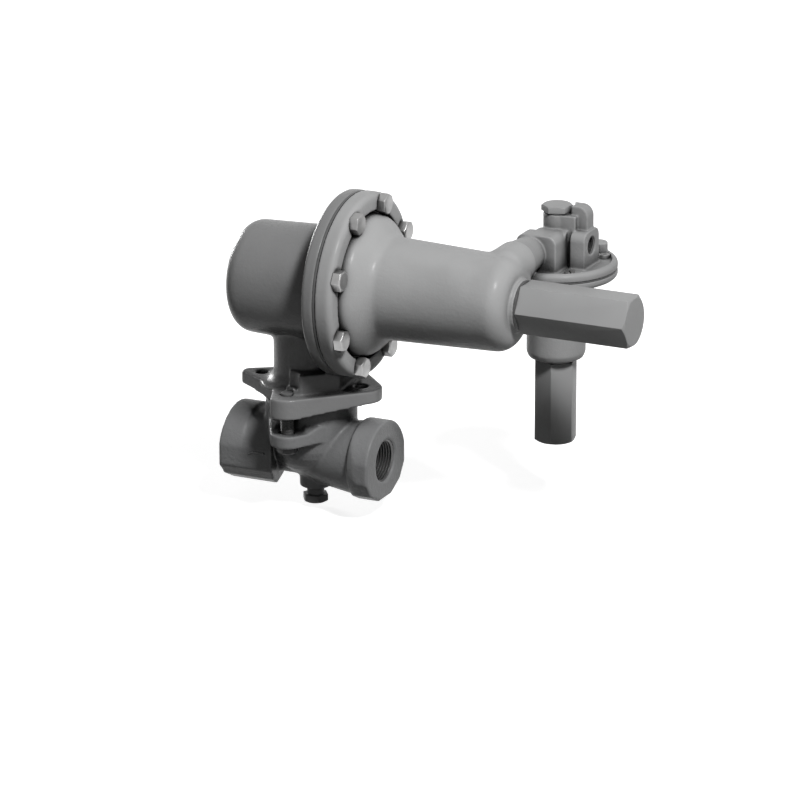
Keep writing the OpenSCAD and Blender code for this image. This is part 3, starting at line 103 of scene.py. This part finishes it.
class Nodes:
    """Short calls for building a material's node tree."""

    def __init__(self, name):
        self.material = bpy.data.materials.new(name)
        self.material.use_nodes = True
        self.tree = self.material.node_tree
        self.shader = self.tree.nodes["Principled BSDF"]
        self.place = self.add("ShaderNodeTexCoord").outputs["Object"]

    def add(self, kind, **values):
        node = self.tree.nodes.new(kind)
        for key, value in values.items():
            setattr(node, key, value)
        return node

    def link(self, output, socket):
        self.tree.links.new(output, socket)

    def noise(self, scale, detail=4.0, rough=0.55, stretch=None):
        node = self.add("ShaderNodeTexNoise")
        node.inputs["Scale"].default_value = scale
        node.inputs["Detail"].default_value = detail
        node.inputs["Roughness"].default_value = rough
        place = self.place
        if stretch:
            mapping = self.add("ShaderNodeMapping")
            mapping.inputs["Scale"].default_value = stretch
            self.link(place, mapping.inputs["Vector"])
            place = mapping.outputs["Vector"]
        self.link(place, node.inputs["Vector"])
        return node.outputs["Fac"]

    def ramp(self, value, stops):
        node = self.add("ShaderNodeValToRGB")
        elements = node.color_ramp.elements
        while len(elements) < len(stops):
            elements.new(0.5)
        for element, (position, shade) in zip(elements, stops):
            element.position = position
            element.color = shade if len(shade) == 4 else (*shade, 1.0)
        self.link(value, node.inputs["Fac"])
        return node.outputs["Color"]

    def level(self, value, low, high, new_low, new_high):
        node = self.add("ShaderNodeMapRange")
        node.inputs["From Min"].default_value = low
        node.inputs["From Max"].default_value = high
        node.inputs["To Min"].default_value = new_low
        node.inputs["To Max"].default_value = new_high
        self.link(value, node.inputs["Value"])
        return node.outputs["Result"]

    def math(self, kind, a, b):
        node = self.add("ShaderNodeMath", operation=kind)
        for socket, value in zip(node.inputs, (a, b)):
            if isinstance(value, (int, float)):
                socket.default_value = value
            else:
                self.link(value, socket)
        return node.outputs["Value"]

    def mix(self, factor, a, b):
        node = self.add("ShaderNodeMix", data_type="RGBA")
        for socket, value in zip((node.inputs[0], node.inputs[6], node.inputs[7]), (factor, a, b)):
            if isinstance(value, tuple):
                socket.default_value = (*value, 1.0)
            elif isinstance(value, (int, float)):
                socket.default_value = value
            else:
                self.link(value, socket)
        return node.outputs[2]

    def bump(self, height, distance, strength=1.0, normal=None):
        node = self.add("ShaderNodeBump")
        node.inputs["Distance"].default_value = distance
        node.inputs["Strength"].default_value = strength
        self.link(height, node.inputs["Height"])
        if normal is not None:
            self.link(normal, node.inputs["Normal"])
        return node.outputs["Normal"]

    def painted_hollow_shade(self, shade_reach, low, high):
        """Painted shade mask from ambient occlusion: 1 deep in gaps and corners, 0 in the open."""
        node = self.add("ShaderNodeAmbientOcclusion", samples=6)
        node.inputs["Distance"].default_value = shade_reach
        return self.level(node.outputs["AO"], low, high, 1.0, 0.0)

    def rounded(self, radius):
        node = self.add("ShaderNodeBevel", samples=4)
        node.inputs["Radius"].default_value = radius
        return node.outputs["Normal"]


def grey(level, tint=0.0):
    return (level, level * (1 + tint), level * (1 + 2 * tint))


def cast_enamel(name, shade, rough, grain, worn, gloss, shade_reach, hollow_shade_depth):
    """Enamel over a sand casting: soft grain, uneven film and rubbed edges. Painted shade: hollows near a
    wall darken towards a fraction of the colour; the last two arguments set how far it reaches and how
    dark it gets."""
    n = Nodes(name)
    wide = n.noise(14.0, 3.0)
    fine = n.noise(900.0, 3.0, 0.6)
    sand = n.noise(330.0, 5.0, 0.65)
    dark = tuple(c * 0.86 for c in shade)
    light = tuple(min(1.0, c * 1.08) for c in shade)
    colour = n.ramp(wide, [(0.30, dark), (0.52, shade), (0.74, light)])
    speck = n.level(sand, 0.62, 0.78, 0.0, 0.15)
    colour = n.mix(speck, colour, tuple(c * 0.6 for c in shade))
    pointed = n.add("ShaderNodeNewGeometry").outputs["Pointiness"]
    ridge = n.level(pointed, 0.53, 0.60, 0.0, worn)
    patch = n.level(n.noise(120.0, 4.0), 0.38, 0.58, 0.2, 1.0)
    rubbed = tuple(min(1.0, c * 2.0) for c in shade)
    colour = n.mix(n.math("MULTIPLY", ridge, patch), colour, rubbed)
    # Painted shade: the colour darkens in hollows and between parts, where shade falls
    colour = n.mix(n.painted_hollow_shade(shade_reach, 0.30, 0.90), colour, tuple(c * hollow_shade_depth for c in shade))
    n.link(colour, n.shader.inputs["Base Color"])
    n.link(n.level(sand, 0.25, 0.75, rough - 0.06, rough + 0.10), n.shader.inputs["Roughness"])
    n.shader.inputs["Specular IOR Level"].default_value = 0.05
    n.shader.inputs["Coat Weight"].default_value = gloss
    n.shader.inputs["Coat Roughness"].default_value = 0.20
    normal = n.bump(sand, 0.00035 * grain, 0.9)
    n.link(n.bump(fine, 0.00010 * grain, 0.7, normal), n.shader.inputs["Normal"])
    return n.material


def bar_enamel(name, shade, rough, edge):
    """Smooth enamel on drawn hexagon bar."""
    n = Nodes(name)
    wide = n.noise(18.0, 2.0)
    film = n.noise(420.0, 3.0)
    dark = tuple(c * 0.94 for c in shade)
    light = tuple(c * 1.04 for c in shade)
    colour = n.ramp(wide, [(0.30, dark), (0.70, light)])
    # Painted shade: the bar's colour darkens in hollows and where it meets other parts
    colour = n.mix(n.painted_hollow_shade(0.005, 0.25, 0.75), colour, tuple(c * 0.2 for c in shade))
    n.link(colour, n.shader.inputs["Base Color"])
    n.link(n.level(film, 0.3, 0.7, rough - 0.05, rough + 0.07), n.shader.inputs["Roughness"])
    n.shader.inputs["Specular IOR Level"].default_value = 0.08
    n.shader.inputs["Coat Weight"].default_value = 0.03
    n.shader.inputs["Coat Roughness"].default_value = 0.25
    n.link(n.bump(film, 0.00006, 0.6, n.rounded(edge)), n.shader.inputs["Normal"])
    return n.material


def bare_metal(name, shade, rough, edge, stretch=(1.0, 1.0, 1.0)):
    """Turned or plated metal with fine tool marks and slight tarnish."""
    n = Nodes(name)
    marks = n.noise(900.0, 2.0, 0.5, stretch)
    tarnish = n.noise(70.0, 4.0)
    colour = n.ramp(tarnish, [(0.32, tuple(c * 0.72 for c in shade)), (0.62, shade)])
    # Painted shade: the metal's colour darkens in hollows and where it meets other parts
    colour = n.mix(n.painted_hollow_shade(0.003, 0.25, 0.70), colour, tuple(c * 0.20 for c in shade))
    n.link(colour, n.shader.inputs["Base Color"])
    n.link(n.level(tarnish, 0.3, 0.7, rough + 0.10, rough - 0.04), n.shader.inputs["Roughness"])
    n.shader.inputs["Metallic"].default_value = 0.85
    n.link(n.bump(marks, 0.00005, 0.6, n.rounded(edge)), n.shader.inputs["Normal"])
    return n.material


def elastomer(name, shade):
    n = Nodes(name)
    dust = n.noise(240.0, 4.0)
    colour = n.ramp(dust, [(0.35, shade), (0.75, tuple(c * 1.8 for c in shade))])
    n.link(colour, n.shader.inputs["Base Color"])
    n.link(n.level(dust, 0.3, 0.7, 0.55, 0.72), n.shader.inputs["Roughness"])
    n.link(n.bump(dust, 0.00008, 0.6), n.shader.inputs["Normal"])
    return n.material


# The body's grey is darker than the casings': partly its own paint tone, partly painted shade for the
# lower part, which gets less light
BODY = cast_enamel("body_enamel", grey(0.19, 0.01), 0.32, 1.3,
                   worn=0.8, gloss=0.1, shade_reach=0.020, hollow_shade_depth=0.08)
# The housing's long hollow reach paints shade over the neck and the top of the square flange, below the
# casing flange
HOUSING = cast_enamel("housing_enamel", grey(0.21, 0.004), 0.28, 0.7,
                      worn=0.5, gloss=0.15, shade_reach=0.050, hollow_shade_depth=0.08)
CASING = cast_enamel("casing_enamel", grey(0.34, 0.004), 0.40, 0.7,
                     worn=0.3, gloss=0.06, shade_reach=0.012, hollow_shade_depth=0.04)
PILOT = cast_enamel("pilot_enamel", grey(0.29, 0.004), 0.40, 0.9,
                    worn=0.6, gloss=0.06, shade_reach=0.014, hollow_shade_depth=0.06)
CAP = bar_enamel("cap_enamel", grey(0.30, 0.004), 0.40, 0.0006)
PLUG = bar_enamel("plug_enamel", grey(0.13, 0.004), 0.38, 0.0005)
RIM = bar_enamel("seam_enamel", grey(0.12, 0.004), 0.45, 0.0002)
FASTENER = bare_metal("zinc_fastener", grey(0.36, -0.004), 0.34, 0.0003)
TRIM = bare_metal("stainless_trim", grey(0.58, -0.002), 0.26, 0.0002, (1.0, 1.0, 6.0))
BRASS = bare_metal("brass_guide", (0.68, 0.47, 0.20), 0.28, 0.0002)
SPRING = bare_metal("spring_wire", grey(0.14, 0.01), 0.38, 0.0001)
RUBBER = elastomer("rubber", grey(0.022))
FIBRE = elastomer("seal_fibre", grey(0.05))
THREAD = bare_metal("cut_thread", grey(0.10, 0.0), 0.38, 0.00015)

BY_SLOT = {
    "body_casting": BODY, "casing_casting": CASING, "pilot_casting": PILOT, "cap_steel": CAP,
    "fastener_steel": FASTENER, "trim_steel": TRIM, "guide_brass": BRASS, "elastomer": RUBBER,
    "spring_steel": SPRING, "seal_fibre": FIBRE,
}
SLOT_OF = {part["node"]: part["material_slot"] for part in frame["record"]["subparts"]}
BODY_OF = {node: body for body, nodes in frame["record"]["behaviour"]["bodies"].items() for node in nodes}


def set_material(obj, material):
    obj.data.materials.clear()
    obj.data.materials.append(material)


def dress_nodes():
    for name, obj in frame["nodes"].items():
        set_material(obj, BY_SLOT[SLOT_OF[name]])
    for name in ("diaphragm", "pilot_diaphragm"):
        set_material(frame["nodes"][name], RIM)


def copy_of(node, name):
    source = frame["nodes"][node]
    data = source.data.copy()
    obj = bpy.data.objects.new(name, data)
    bpy.context.scene.collection.objects.link(obj)
    return obj


def apply_modifiers(obj):
    bpy.context.view_layer.update()
    graph = bpy.context.evaluated_depsgraph_get()
    data = bpy.data.meshes.new_from_object(obj.evaluated_get(graph))
    obj.modifiers.clear()
    obj.data = data
    return obj


def relax(obj, rounds, zones=()):
    """Evens out a dense mesh: all over by rounds, and more inside each (centre, radius, rounds)."""
    data = obj.data
    count = len(data.vertices)
    co = np.empty(count * 3, np.float32)
    data.vertices.foreach_get("co", co)
    co = co.reshape(-1, 3)
    edges = np.empty(len(data.edges) * 2, np.int32)
    data.edges.foreach_get("vertices", edges)
    edges = edges.reshape(-1, 2)
    a = np.concatenate([edges[:, 0], edges[:, 1]])
    b = np.concatenate([edges[:, 1], edges[:, 0]])
    degree = np.bincount(a, minlength=count).astype(np.float32)[:, None]
    degree[degree == 0] = 1
    jobs = [(np.full((count, 1), 0.5, np.float32), rounds)]
    for centre, radius, zone_rounds in zones:
        away = np.linalg.norm(co - np.array(centre, np.float32), axis=1) / radius
        weight = np.clip(1.6 * (1 - away), 0, 1)
        jobs.append((0.5 * weight[:, None].astype(np.float32), zone_rounds))
    for weight, times in jobs:
        for _ in range(times):
            mean = np.stack([np.bincount(a, weights=co[b, k], minlength=count) for k in range(3)], 1)
            co += weight * (mean.astype(np.float32) / degree - co)
    data.vertices.foreach_set("co", co.ravel())
    data.update()


def casting(node, name, voxel, rounds, material, zones=()):
    """A casting with fillets at every corner, made from the node's own solid."""
    obj = copy_of(node, name)
    remesh = obj.modifiers.new("remesh", "REMESH")
    remesh.mode = "VOXEL"
    remesh.voxel_size = voxel
    apply_modifiers(obj)
    relax(obj, rounds, zones)
    obj.data.shade_smooth()
    set_material(obj, material)
    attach(obj, BODY_OF[node])
    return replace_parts(obj, node)


def machined(node, name, width, material, angle=24.0):
    """A turned or milled piece with its arrises broken by a small bevel."""
    obj = copy_of(node, name)
    weld = obj.modifiers.new("weld", "WELD")
    weld.merge_threshold = 1e-6
    flat = obj.modifiers.new("flat", "DECIMATE")
    flat.decimate_type = "DISSOLVE"
    flat.angle_limit = math.radians(0.8)
    bevel = obj.modifiers.new("bevel", "BEVEL")
    bevel.width = width
    bevel.segments = 3
    bevel.limit_method = "ANGLE"
    bevel.angle_limit = math.radians(angle)
    bevel.harden_normals = False
    apply_modifiers(obj)
    obj.data.shade_smooth()
    obj.data.set_sharp_from_angle(angle=math.radians(20))
    set_material(obj, material)
    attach(obj, BODY_OF[node])
    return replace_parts(obj, node)


def make_mesh(name, points, faces, material, body, smooth=True):
    data = bpy.data.meshes.new(name)
    data.from_pydata(points, [], faces)
    data.update()
    obj = bpy.data.objects.new(name, data)
    bpy.context.scene.collection.objects.link(obj)
    if smooth:
        data.shade_smooth()
        data.set_sharp_from_angle(angle=math.radians(35))
    set_material(obj, material)
    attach(obj, body)
    return obj


def thread(name, start, along, root_r, crest_r, pitch, length, material, body):
    """A helical V ridge from the root radius to the crest radius. It fades in and out at its ends."""
    axis = Vector(along).normalized()
    side = axis.orthogonal().normalized()
    other = axis.cross(side)
    per_turn = 72
    steps = int(length / pitch * per_turn)
    half = 0.46 * pitch
    points = []
    for i in range(steps + 1):
        turn = 2 * math.pi * i / per_turn
        fade = min(1.0, i / (per_turn * 0.4), (steps - i) / (per_turn * 0.4))
        advance = pitch * i / per_turn
        ray = math.cos(turn) * side + math.sin(turn) * other
        crest = root_r + (crest_r - root_r) * fade
        for r, d in ((root_r, -half), (crest, -0.12 * half), (crest, 0.12 * half), (root_r, half)):
            points.append(Vector(start) + (advance + d) * axis + r * ray)
    faces = []
    for i in range(steps):
        for j in range(3):
            p = 4 * i + j
            faces.append((p, p + 1, p + 5, p + 4))
    faces.append((0, 3, 2, 1))
    faces.append(tuple(4 * steps + k for k in range(4)))
    return make_mesh(name, points, faces, material, body)


def cast_mark():
    """The short raised mark on the flat of the inlet block: a bar with a bent end."""
    plane = -0.0340
    rise = 0.0009
    outline = [(0.0250, 0.0022), (0.0262, 0.0016), (0.0288, 0.0030), (0.0386, 0.0030), (0.0386, 0.0043),
               (0.0288, 0.0043)]
    points = [(x, plane + 0.0006, z) for x, z in outline]
    points += [(x, plane - rise, z) for x, z in outline]
    count = len(outline)
    faces = [tuple(range(count - 1, -1, -1)), tuple(range(count, 2 * count))]
    for k in range(count):
        m = (k + 1) % count
        faces.append((k, m, count + m, count + k))
    obj = make_mesh("cast_mark", points, faces, BODY, "housing", smooth=False)
    bevel = obj.modifiers.new("bevel", "BEVEL")
    bevel.width = 0.0004
    bevel.segments = 2
    return obj


def add_castings():
    casting("valve_body", "valve_body_casting", 0.0009, 5, BODY, [
        ((STEM_X + 0.030, 0.0, 0.004), 0.026, 18),
        ((STEM_X - 0.022, 0.0, 0.014), 0.022, 14),
        ((STEM_X, -0.034, 0.028), 0.014, 10),
        ((STEM_X, 0.034, 0.028), 0.014, 10),
        ((STEM_X + 0.003, 0.0, -0.022), 0.016, 8),
    ])
    casting("rear_casing", "rear_casing_casting", 0.0010, 4, HOUSING, [
        ((STEM_X, 0.0, 0.096), 0.045, 26),
    ])
    casting("spring_case", "spring_case_casting", 0.0009, 4, CASING, [
        ((0.216, 0.012, 0.165), 0.026, 22),
    ])
    casting("pilot_body", "pilot_body_casting", 0.0006, 3, PILOT, [
        ((0.212, 0.087, 0.150), 0.016, 10),
    ])
    casting("pilot_spring_case", "pilot_spring_case_casting", 0.0008, 4, PILOT, [])


def add_machined():
    machined("main_closing_cap", "main_cap_bar", 0.0009, CAP)
    machined("pilot_closing_cap", "pilot_cap_bar", 0.0008, CAP)
    machined("pilot_top_plug", "pilot_plug_head", 0.0006, CAP)
    machined("drain_plug", "drain_plug_head", 0.0006, PLUG)
    machined("casing_screws", "casing_screw_heads", 0.0005, FASTENER)
    machined("body_cap_screws", "body_cap_screw_heads", 0.0005, PLUG)
    machined("pilot_casing_screws", "pilot_screw_heads", 0.0003, FASTENER)


def add_threads():
    """Threads stand on the plain walls of the ports, just inside the mouth, and on the cap screws."""
    sunk = 0.0001
    lead_in = 0.0012
    line_depth = 0.0012
    line_length = 0.0165
    for label, mouth, inward in (("outlet", OUTLET_X, -1), ("inlet", 0, 1)):
        thread(label + "_thread", (mouth + inward * lead_in, 0, 0), (inward, 0, 0), PORT_R + sunk,
               PORT_R - line_depth, LINE_PITCH, line_length, THREAD, "housing")
    pilot_lead_in = 0.001
    pilot_depth = 0.00075
    thread("pilot_port_thread", (PILOT_PORT[0] - pilot_lead_in, PILOT_PORT[1], PILOT_PORT[2]), (-1, 0, 0),
           PILOT_PORT_R + sunk, PILOT_PORT_R - pilot_depth, PILOT_PITCH, 0.0100, THREAD, "housing")
    shank_foot = 0.0275
    for side, label in ((-1, "front"), (1, "back")):
        thread("cap_screw_thread_" + label, (STEM_X, side * EAR_Y, shank_foot), (0, 0, 1), 0.00465, 0.0051,
               CAP_SCREW_PITCH, 0.0130, PLUG, "housing")


def seen_directly(tree):
    """1 for camera, glossy and transmission rays, 0 for the light that falls on the part."""
    path = tree.nodes.new("ShaderNodeLightPath")
    value = path.outputs["Is Camera Ray"]
    for name in ("Is Glossy Ray", "Is Transmission Ray"):
        node = tree.nodes.new("ShaderNodeMath")
        node.operation = "MAXIMUM"
        tree.links.new(value, node.inputs[0])
        tree.links.new(path.outputs[name], node.inputs[1])
        value = node.outputs["Value"]
    return value


def add_stage():
    low = cad_box[0][2]
    data = bpy.data.meshes.new("floor")
    half = 6.0
    z = low - 0.004
    corners = [(-half, -half, z), (half, -half, z), (half, half, z), (-half, half, z)]
    data.from_pydata(corners, [], [(0, 1, 2, 3)])
    floor = bpy.data.objects.new("floor", data)
    bpy.context.scene.collection.objects.link(floor)
    material = bpy.data.materials.new("floor")
    material.use_nodes = True
    tree = material.node_tree
    shader = tree.nodes["Principled BSDF"]
    shader.inputs["Base Color"].default_value = (0.8, 0.8, 0.8, 1)
    shader.inputs["Roughness"].default_value = 0.9
    shader.inputs["Emission Color"].default_value = (1, 1, 1, 1)
    shader.inputs["Emission Strength"].default_value = 0.80
    matt = tree.nodes.new("ShaderNodeBsdfDiffuse")
    matt.inputs["Color"].default_value = (FLOOR_RETURN, FLOOR_RETURN, FLOOR_RETURN, 1)
    mix = tree.nodes.new("ShaderNodeMixShader")
    tree.links.new(seen_directly(tree), mix.inputs[0])
    tree.links.new(matt.outputs[0], mix.inputs[1])
    tree.links.new(shader.outputs[0], mix.inputs[2])
    tree.links.new(mix.outputs[0], tree.nodes["Material Output"].inputs["Surface"])
    set_material(floor, material)


def add_area(name, location, size, power):
    data = bpy.data.lights.new(name, "AREA")
    data.shape = "RECTANGLE"
    data.size = size[0]
    data.size_y = size[1]
    data.energy = power
    lamp = bpy.data.objects.new(name, data)
    lamp.location = location
    direction = Vector(LAMP_TARGET) - Vector(location)
    lamp.rotation_euler = direction.to_track_quat("-Z", "Y").to_euler()
    bpy.context.scene.collection.objects.link(lamp)


def add_lights():
    """A hard key from the upper right, a weak front lamp, and one low behind so that the back shows.
    The rear lamp keeps out of the mirror direction of faces that look up."""
    add_area("key", (1.17, -0.80, 1.60), (0.3, 0.4), 46)
    add_area("window", (0.75, -1.60, 0.55), (0.1, 0.5), 1.5)
    add_area("back", (-1.57, 1.02, 0.38), (0.6, 0.6), 20)
    world = bpy.data.worlds.new("world")
    bpy.context.scene.world = world
    world.use_nodes = True
    tree = world.node_tree
    background = tree.nodes["Background"]
    background.inputs["Color"].default_value = (1, 1, 1, 1)
    background.inputs["Strength"].default_value = AMBIENT
    white = tree.nodes.new("ShaderNodeBackground")
    white.inputs["Color"].default_value = (1, 1, 1, 1)
    white.inputs["Strength"].default_value = 1.0
    mix = tree.nodes.new("ShaderNodeMixShader")
    tree.links.new(seen_directly(tree), mix.inputs[0])
    tree.links.new(background.outputs[0], mix.inputs[1])
    tree.links.new(white.outputs[0], mix.inputs[2])
    tree.links.new(mix.outputs[0], tree.nodes["World Output"].inputs["Surface"])


add_camera()
bpy.context.scene.view_settings.view_transform = "Standard"
dress_nodes()
add_castings()
add_machined()
add_threads()
cast_mark()
add_stage()
add_lights()
bpy.context.view_layer.update()
